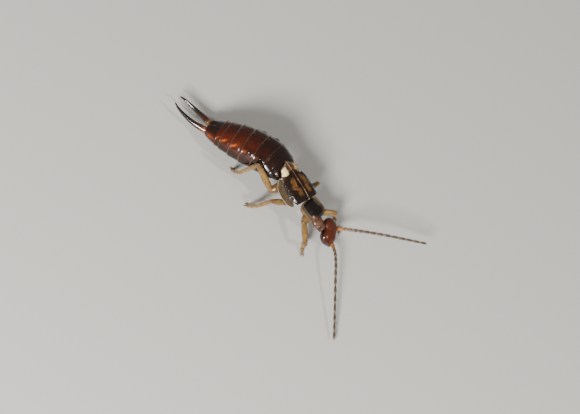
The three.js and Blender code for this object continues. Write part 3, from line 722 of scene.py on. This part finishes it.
def head_capsule():
    """Rings of the unit ball from the face to the nape, red on the crown, with painted shade that darkens
    it all round: underneath, at the face and at the temples.
    """
    points, ahead, left, up, line = head_surface(*unit_ball(120, 160, 0.01))
    # Painted shade: darker under the head, at the face and at the temples, where the capsule turns from the
    # light.
    crown = smooth(up, 0.05, 0.75)
    colour = mixed(SHADED_HEAD_UNDERSIDE, CROWN_RED, crown)
    colour = mixed(colour, SHADED_FACE_BLACK, 0.85 * smooth(ahead, 0.45, 0.95))
    colour = mixed(colour, SHADED_TEMPLE_BROWN, 0.6 * smooth(np.abs(left), 0.72, 0.98))
    colour = mixed(colour, LINE_BROWN, 0.7 * line)
    return body(placed(points, head_frame), colour)


head_finish = cuticle("Polished mahogany head", 0.2, mottle=0.22, pits=0.22, pit_size=20, coat=0.7)
piece("head_capsule", [head_capsule()], head_finish, ["head"])


# Eyes. Two black compound eyes, domes of hundreds of small round facets in clear cuticle, set
# almost flush in the sides of the head.
EYE = {"length": 0.25, "depth": 0.2, "height": 0.24}
EYE_BLACK = (0.009, 0.007, 0.007)


def eye(side):
    """Ellipsoid in rings about the axis that points out of the side of the head."""
    out, ahead, up = unit_ball(70, 96, 0.02)
    unit = np.stack([ahead, out * side, up], -1)
    points = unit * (EYE["length"], EYE["depth"], EYE["height"]) + EYE_PLACE * (1, side, 1)
    return body(placed(points, head_frame), EYE_BLACK)


eye_finish = cuticle("Faceted black eye", 0.22, mottle=0.1, pits=1.0, pit_size=42, coat=0.8)
for name, side in (("left", 1), ("right", -1)):
    piece(f"compound_eye_{name}", [eye(side)], eye_finish, [f"eye_{name}"])


# Mouthparts. The face plate and upper lip, a pair of dark jaws under them, and four jointed palps of
# clear amber cuticle that hang at the sides.
def square_to(along):
    """Two unit directions square to a unit direction; the first one lies level where it can."""
    side_way = np.cross(along, X_AXIS if abs(along[2]) > 0.95 else Z_AXIS)
    side_way /= np.linalg.norm(side_way)
    return side_way, np.cross(side_way, along)


def rod(start, end, radii, colours, sides=20, steps=14, flat=1.0):
    """Closed rod between two points of the model: round sections, or oval ones where flat isn't 1, whose
    radii and colours are read at even steps along the way."""
    start, end = np.asarray(start, float), np.asarray(end, float)
    along = (end - start) / np.linalg.norm(end - start)
    side_way, up_way = square_to(along)
    way, angle = tube_grid(steps, sides)
    radius = np.interp(way, np.linspace(0, 1, len(radii)), radii)[..., None]
    middle = start + way[..., None] * (end - start)
    sideways, upwards = np.cos(angle)[..., None] * side_way * flat, np.sin(angle)[..., None] * up_way
    grid = middle + radius * (sideways + upwards)
    colours = np.asarray(colours, float)
    stops = np.linspace(0, 1, len(colours))
    tint = np.stack([np.interp(way, stops, colours[:, channel]) for channel in range(3)], -1)
    return body(placed(grid), tint)


def ball(centre, radius, colour, sides=16):
    """Closed small ball round a point of the model: rings about the vertical."""
    up, ahead, left = unit_ball(10, sides, 0.05)
    unit = np.stack([ahead, left, up], -1)
    return body(placed(np.asarray(centre) + radius * unit), colour)


def in_model(points, carrier):
    """Points of a carrier's frame as points of the model, still in mm."""
    return np.asarray(points, float) @ carrier[0].T + carrier[1]


def lobe(centre, size, colour, carrier):
    """Ellipsoid of three half sizes, in rings about its long way."""
    return body(placed(np.stack(unit_ball(26, 36, 0.04), -1) * size + centre, carrier), colour)


LIP_BROWN, FACE_BROWN = (0.16, 0.05, 0.018), (0.12, 0.035, 0.014)
JAW_BROWN = (0.1, 0.03, 0.012)
PALP_AMBER = (0.38, 0.18, 0.07)
LONG_PALP = [
    (1.2, 0.25, -0.22), (1.36, 0.42, -0.25), (1.5, 0.48, -0.26), (1.64, 0.42, -0.27), (1.74, 0.34, -0.25),
]
SHORT_PALP = [(1.3, 0.1, -0.26), (1.46, 0.18, -0.3), (1.6, 0.2, -0.3)]
mouth = [lobe((1.69, 0, -0.04), (0.2, 0.34, 0.11), LIP_BROWN, head_frame)]
mouth.append(lobe((1.5, 0, 0.03), (0.2, 0.42, 0.12), FACE_BROWN, head_frame))
for side in (-1, 1):
    mouth.append(lobe((1.58, side * 0.2, -0.2), (0.28, 0.2, 0.14), JAW_BROWN, head_frame))
    for route, thick in ((LONG_PALP, 0.075), (SHORT_PALP, 0.055)):
        route = in_model(np.array(route) * (1, side, 1), head_frame)
        for start, end in zip(route[:-1], route[1:]):
            mouth.append(rod(start, end, [0.6 * thick, thick, thick, 0.8 * thick], [PALP_AMBER, PALP_AMBER]))
            mouth.append(ball(end, 0.7 * thick, PALP_AMBER))
mouth_finish = cuticle("Mouthparts", 0.3, mottle=0.3, pits=0.2, coat=0.5, glow=0.1)
piece("mouth", mouth, mouth_finish, ["mouthparts"])


# Fine bristles. Tapered, slightly bent hairs of clear brown cuticle, rooted in the skin of the
# feelers, legs and hind body and leaning towards the free end.
def bristles(name, hair, radius, colour, seed):
    """Three-sided spikes: a triangle at the root, a smaller one at 0.55 of the length, and the point.
    The middle line sways off its straight way as the square of the share of the length. Hairs whose
    root or point would come too near the floor are left off."""
    roots, ways, lengths, unwrap = (np.concatenate(column) for column in zip(*hair))
    ways = ways / np.linalg.norm(ways, axis=1, keepdims=True)
    clear = (roots[:, 2] > 0.1) & (roots[:, 2] + 1.2 * ways[:, 2] * lengths > 0.05)
    roots, ways, lengths, unwrap = roots[clear], ways[clear], lengths[clear], unwrap[clear]
    draw = np.random.default_rng(seed)
    count = len(roots)
    guide = np.where(np.abs(ways[:, 2:]) > 0.9, X_AXIS, Z_AXIS)
    side = np.cross(ways, guide)
    side /= np.linalg.norm(side, axis=1, keepdims=True)
    up = np.cross(side, ways)
    sway = draw.normal(0, 0.12, (count, 3))
    lengths = lengths[:, None]
    corners = []
    for share, size in ((0.0, 1.0), (0.55, 0.7)):
        middle = roots + ways * lengths * share + sway * lengths * share ** 2
        for step in range(3):
            angle = step * 2 * np.pi / 3
            corners.append(middle + radius * size * (np.cos(angle) * side + np.sin(angle) * up))
    corners.append(roots + ways * lengths + sway * lengths)
    points = np.stack(corners, 1)
    quads = [[a, (a + 1) % 3, 3 + (a + 1) % 3, 3 + a] for a in range(3)]
    triangles = [[3 + a, 3 + (a + 1) % 3, 6] for a in range(3)] + [[2, 1, 0]]
    base = np.arange(count)[:, None, None] * 7
    faces = (base + np.array(quads)).reshape(-1, 4).tolist()
    faces += (base + np.array(triangles)).reshape(-1, 3).tolist()
    shades = 0.75 + 0.5 * draw.random((count, 1, 1))
    tints = np.broadcast_to(np.asarray(colour) * shades, points.shape).reshape(-1, 3)
    made = coloured(name, placed(points.reshape(-1, 3)), faces, tints, hair_finish)
    mesh = made.data
    patch = np.array([(0, 0), (1, 0), (0.5, 1), (0.2, 0.5), (0.8, 0.5), (0.5, 0.8), (0.5, 0.5)]) * 0.003
    places = (np.clip(unwrap, 0, 0.995)[:, None, :] + patch).reshape(-1, 2)
    corner_point = np.empty(len(mesh.loops), int)
    mesh.loops.foreach_get("vertex_index", corner_point)
    mesh.uv_layers.new(name="OFBake").data.foreach_set("uv", places[corner_point].ravel())
    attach(made, "root")


def hairs_on_rod(start, end, radius, count, length, lean, draw):
    """Roots spread at random over a rod, ways that lean from its surface towards its free end, lengths,
    and a place on the unwrapped rod for each hair."""
    start, end = np.asarray(start, float), np.asarray(end, float)
    along = (end - start) / np.linalg.norm(end - start)
    side, up = square_to(along)
    way, angle = draw.random(count), draw.random(count) * 2 * np.pi
    out = np.cos(angle)[:, None] * side + np.sin(angle)[:, None] * up
    roots = start + way[:, None] * (end - start) + out * radius * 0.9
    lengths = length * (0.6 + 0.8 * draw.random(count))
    return roots, out + lean * along, lengths, np.stack([angle / (2 * np.pi), way], -1)


hair_finish = cuticle("Fine bristle", 0.4, mottle=0.1, pits=0.0, coat=0.2, glow=0.1)


# Feelers. A stout scape, a tiny second segment and twelve slim ones threaded on a curve, each
# narrow at its pale root and widest near its end, covered with short hair.
FEELER_SEGMENTS = [0.7, 0.2, 0.42, 0.34, 0.4, 0.46, 0.52, 0.56, 0.6, 0.62, 0.62, 0.62, 0.6, 0.56]
SCAPE_PROFILE = [0.6, 0.85, 0.9, 0.95, 1.0, 0.95, 0.5]
SEGMENT_PROFILE = [0.55, 0.72, 0.9, 1.0, 1.0, 0.92, 0.6]
FEELER_BASE, FEELER_STEPS = (1.28, 0.5, 0.0), 1000
FEELERS = {
    "left": [(4.8, 2.3, 1.75), (6.15, 4.1, 1.85), (8.5, 7.87, 1.25)],
    "right": [(5.55, -0.05, 1.15), (7.3, -1.75, 0.95), (10.57, -4.9, 0.3)],
}


def curve_through(points, count):
    """Centripetal spline through a few points, as many points at even distances along it."""
    points = np.asarray(points, float)
    points = np.concatenate([[2 * points[0] - points[1]], points, [2 * points[-1] - points[-2]]])
    times = np.concatenate([[0], np.cumsum(np.linalg.norm(np.diff(points, axis=0), axis=1) ** 0.5)])
    pieces = []
    for i in range(1, len(points) - 2):
        t = np.linspace(times[i], times[i + 1], 80)[:, None]
        t0, t1, t2, t3 = times[i - 1:i + 3]
        p0, p1, p2, p3 = points[i - 1:i + 3]
        a1 = (t1 - t) / (t1 - t0) * p0 + (t - t0) / (t1 - t0) * p1
        a2 = (t2 - t) / (t2 - t1) * p1 + (t - t1) / (t2 - t1) * p2
        a3 = (t3 - t) / (t3 - t2) * p2 + (t - t2) / (t3 - t2) * p3
        b1 = (t2 - t) / (t2 - t0) * a1 + (t - t0) / (t2 - t0) * a2
        b2 = (t3 - t) / (t3 - t1) * a2 + (t - t1) / (t3 - t1) * a3
        pieces.append((t2 - t) / (t2 - t1) * b1 + (t - t1) / (t2 - t1) * b2)
    line = np.concatenate(pieces)
    reach = np.concatenate([[0], np.cumsum(np.linalg.norm(np.diff(line, axis=0), axis=1))])
    even = np.linspace(0, reach[-1], count)
    return np.stack([np.interp(even, reach, line[:, axis]) for axis in range(3)], -1)


feeler_finish = cuticle("Grey-brown feeler", 0.42, mottle=0.3, pits=0.5, pit_size=26, coat=0.15, glow=0.08)
AMBER_SCAPE = (0.3, 0.12, 0.03)
FEELER_BROWN = (0.085, 0.06, 0.04)
PALE_JOINT = (0.2, 0.145, 0.085)
FEELER_HAIR = (0.13, 0.095, 0.065)
for name, side in (("left", 1), ("right", -1)):
    draw = np.random.default_rng(40 + side)
    base = in_model(np.array(FEELER_BASE) * (1, side, 1), head_frame)
    line = curve_through([base] + FEELERS[name], FEELER_STEPS + 1)
    reaches = np.concatenate([[0], np.cumsum(FEELER_SEGMENTS)]) / sum(FEELER_SEGMENTS)
    ends = np.round(reaches * FEELER_STEPS).astype(int)
    parts, hair = [], []
    for number, (first, last) in enumerate(zip(ends[:-1], ends[1:])):
        start, end = line[first], line[last]
        share = last / FEELER_STEPS
        thick = 0.155 if number == 0 else 0.118 - 0.035 * share
        brown = mixed(AMBER_SCAPE, FEELER_BROWN, min(1, number / 3))
        profile = thick * np.array(SEGMENT_PROFILE if number else SCAPE_PROFILE)
        tones = [brown, brown]
        if number > 1:
            tones = [PALE_JOINT, brown, brown, brown * 0.85, brown * 0.9, PALE_JOINT]
        parts.append(rod(start, end, profile, tones, sides=24, steps=26))
        parts.append(ball(end, 0.5 * thick, PALE_JOINT))
        hair.append(hairs_on_rod(start, end, thick, 70 if number else 40, 0.1, 1.1, draw))
    piece(f"feeler_{name}", parts, feeler_finish, [f"antenna_{name}"])
    bristles(f"feeler_hair_{name}", hair, 0.006, FEELER_HAIR, 7 + side)


# Legs. Straw-brown and finely haired: a short coxa, a flattened thigh, a slim shin, a foot of three
# segments with a small heart-shaped middle one, and two hooked claws. They hinge under the thorax.
# Each leg is given by its root, hip, knee, ankle and toe.
LEGS = {
    "front_right": [
        (2.15, -0.1, 1.65), (2.37, -0.72, 1.45), (3.74, -1.7, 1.1), (3.45, -1.15, 0.42), (3.95, -1.6, 0),
    ],
    "front_left": [
        (2.0, 0.5, 1.65), (2.25, 1.0, 1.45), (3.04, 2.22, 1.68), (3.4, 2.6, 0.5), (3.95, 2.75, 0),
    ],
    "middle_right": [
        (0.4, -0.3, 1.7), (0.35, -0.85, 1.35), (-0.15, -2.1, 1.7), (-0.65, -2.5, 0.62), (-1.1, -2.7, 0),
    ],
    "middle_left": [
        (0.4, 0.3, 1.7), (0.4, 0.85, 1.35), (0.55, 2.49, 1.96), (0.2, 2.95, 0.75), (-0.3, 3.2, 0),
    ],
    "hind_right": [
        (-0.7, -0.3, 1.75), (-0.95, -1.05, 1.3), (-2.6, -2.45, 3.35), (-3.35, -2.2, 1.1), (-3.98, -1.6, 0),
    ],
    "hind_left": [
        (-0.7, 0.3, 1.75), (-0.95, 1.0, 1.3), (-1.95, 2.15, 1.75), (-3.0, 2.9, 0.75), (-3.6, 3.2, 0),
    ],
}
STRAW = np.array((0.19, 0.108, 0.032))
DARK_STRAW = np.array((0.11, 0.052, 0.017))
CLAW_BROWN = np.array((0.12, 0.04, 0.015))
LEG_HAIR = (0.4, 0.26, 0.13)
TOE_RADIUS = 0.09
leg_finish = cuticle("Straw-brown leg", 0.34, mottle=0.4, pits=0.4, pit_size=16, coat=0.35, glow=0.15)
for number, (name, points) in enumerate(LEGS.items()):
    draw = np.random.default_rng(60 + number)
    root, hip, knee, ankle, toe = (np.array(point, float) for point in points)
    toe[2] = TOE_RADIUS + 0.01
    first_joint, second_joint = ankle + 0.5 * (toe - ankle), ankle + 0.66 * (toe - ankle)
    parts, hair = [], []
    thigh_tones = [STRAW * 0.8, STRAW, STRAW, STRAW, DARK_STRAW]
    shin_tones = [DARK_STRAW, STRAW, STRAW, STRAW * 1.1]
    runs = [
        (root, hip, [0.34, 0.35, 0.33, 0.24], [DARK_STRAW, STRAW * 0.8], 1.0, 60, 0.12),
        (hip, knee, [0.16, 0.22, 0.26, 0.27, 0.26, 0.24, 0.2, 0.15], thigh_tones, 0.8, 220, 0.14),
        (knee, ankle, [0.13, 0.16, 0.15, 0.14, 0.13, 0.12], shin_tones, 0.9, 260, 0.17),
        (ankle, first_joint, [0.09, 0.105, 0.11, 0.1], [STRAW, STRAW], 0.9, 90, 0.14),
        (first_joint, second_joint, [0.08, 0.12, 0.14, 0.11], [STRAW, STRAW * 0.9], 1.15, 40, 0.12),
        (second_joint, toe, [0.07, 0.085, 0.09, 0.09], [STRAW, STRAW * 0.85], 0.9, 70, 0.12),
    ]
    for start, end, radii, tones, flat, count, length in runs:
        parts.append(rod(start, end, radii, tones, sides=28, steps=34, flat=flat))
        hair.append(hairs_on_rod(start, end, 0.9 * np.mean(radii) * min(1, flat), count, length, 0.9, draw))
    joints = [(hip, 0.2, DARK_STRAW), (knee, 0.145, DARK_STRAW), (ankle, 0.11, DARK_STRAW)]
    for joint, radius, tone in joints + [(toe, TOE_RADIUS, STRAW * 0.8)]:
        parts.append(ball(joint, radius, tone, 24))
    forward = (toe - ankle) * (1, 1, 0)
    forward /= np.linalg.norm(forward)
    across = np.cross(Z_AXIS, forward)
    for side in (-1, 1):
        bend = toe + 0.17 * forward + side * 0.1 * across + (0, 0, 0.03)
        point = toe + 0.3 * forward + side * 0.13 * across
        point[2] = 0.012
        for start, end, radii in ((toe, bend, [0.04, 0.036, 0.03]), (bend, point, [0.031, 0.022, 0.004])):
            parts.append(rod(start, end, radii, [CLAW_BROWN, CLAW_BROWN], sides=12, steps=8))
    piece(f"{name}_leg", parts, leg_finish, [f"leg_{name}"])
    bristles(f"{name}_leg_hair", hair, 0.007, LEG_HAIR, 80 + number)


# Hair of the hind body. Scattered short bristles along the rear edge of each back plate and on the
# belly plates.
HAIRS_PER_RING = 90
HIND_HAIR = (0.16, 0.08, 0.035)
draw = np.random.default_rng(5)
patches = []
for number, ring in enumerate(ring_frames):
    way = 0.03 + 0.25 * draw.random(HAIRS_PER_RING)
    angle = np.radians(-160 + 320 * draw.random(HAIRS_PER_RING)) + np.pi / 2
    skin = in_model(ring_points(number, way, angle, 0.0), ring)
    further = in_model(ring_points(number, way, angle, 0.1), ring)
    backwards = -ring[0][:, 0]
    unwrap = np.stack([(angle / (2 * np.pi)) % 1, way], -1)
    patches.append((skin, (further - skin) / 0.1 + 1.6 * backwards, unwrap))
lengths = 0.1 + 0.12 * draw.random((len(patches), HAIRS_PER_RING))
hair = [(skin, ways, length, unwrap) for (skin, ways, unwrap), length in zip(patches, lengths)]
bristles("hind_hair", hair, 0.004, HIND_HAIR, 6)


# Stage. A plain pale floor under the feet, a soft warm room, a key light beside the camera, which
# puts the long highlights on the right side, and a small one ahead, which catches the head.
FLOOR_HALF = 0.6
corners = [FLOOR_HALF * np.array(corner) for corner in ((-1, -1, 0), (1, -1, 0), (1, 1, 0), (-1, 1, 0))]
floor_mesh = bpy.data.meshes.new("floor")
floor_mesh.from_pydata(corners, [], [(0, 1, 2, 3)])
floor_finish = bpy.data.materials.new("Pale floor")
floor_finish.use_nodes = True
floor_shader = floor_finish.node_tree.nodes["Principled BSDF"]
given_values(floor_shader, {"Base Color": (0.62, 0.61, 0.58, 1), "Roughness": 0.7})
floor_mesh.materials.append(floor_finish)
floor = bpy.data.objects.new("floor", floor_mesh)
bpy.context.collection.objects.link(floor)
world = bpy.data.worlds.new("soft room")
world.use_nodes = True
given_values(world.node_tree.nodes["Background"], {"Color": (1.0, 0.97, 0.92, 1), "Strength": 0.25})
bpy.context.scene.world = world

VIEW_RIGHT = np.array([0.6370, 0.6032, 0.4812])
VIEW_DOWN = np.array([0.7575, -0.3698, -0.5391])
TO_CAMERA = np.array([0.1470, -0.7071, 0.6917])
LAMP_DISTANCE = 0.25
LAMP_WHITE = (1, 0.98, 0.95)
MIDDLE = np.array([0, 0, 0.002])


def stand(side, up, back, origin):
    """Place of a lamp or camera: its three axes are the columns of the turn, its origin the last one."""
    matrix = np.eye(4)
    matrix[:3, :3] = np.array([side, up, back]).T
    matrix[:3, 3] = origin
    return Matrix(matrix.tolist())


def soft_light(name, way, size, power):
    """Square lamp of a given size and power, set off along a direction and facing the animal's middle."""
    data = bpy.data.lights.new(name, "AREA")
    data.size = size
    data.energy = power
    data.color = LAMP_WHITE
    back = np.asarray(way, float) / np.linalg.norm(way)
    side = np.cross(Z_AXIS, back)
    side /= np.linalg.norm(side)
    lamp = bpy.data.objects.new(name, data)
    bpy.context.collection.objects.link(lamp)
    lamp.matrix_world = stand(side, np.cross(back, side), back, MIDDLE + back * LAMP_DISTANCE)


flash_way = 0.94 * TO_CAMERA + 0.34 * (0.85 * VIEW_DOWN - 0.52 * VIEW_RIGHT)
soft_light("key light", flash_way, 0.05, 1.5)
soft_light("front light", (0.72, 0.02, 0.69), 0.014, 0.22)

# Camera. It looks down on the animal's right side from far off, turned so that the animal lies
# across the picture from the upper left to the lower right.
PIXELS_PER_MM = 13.8
IMAGE = (580, 414)
ORIGIN_PIXEL = (279.3, 204.5)
DISTANCE, AIM_DEPTH = 0.4, 1.6
right_mm = (IMAGE[0] / 2 - ORIGIN_PIXEL[0]) / PIXELS_PER_MM
down_mm = (IMAGE[1] / 2 - ORIGIN_PIXEL[1]) / PIXELS_PER_MM
aim = (right_mm * VIEW_RIGHT + down_mm * VIEW_DOWN + AIM_DEPTH * TO_CAMERA + SHIFT) * MM
camera_data = bpy.data.cameras.new("camera")
camera_data.sensor_width = 36
camera_data.lens = 36 * DISTANCE / (IMAGE[0] / PIXELS_PER_MM * MM)
camera_data.clip_start, camera_data.clip_end = 0.001, 10
camera = bpy.data.objects.new("camera", camera_data)
bpy.context.collection.objects.link(camera)
camera.matrix_world = stand(VIEW_RIGHT, -VIEW_DOWN, TO_CAMERA, aim + TO_CAMERA * DISTANCE)
bpy.context.scene.camera = camera
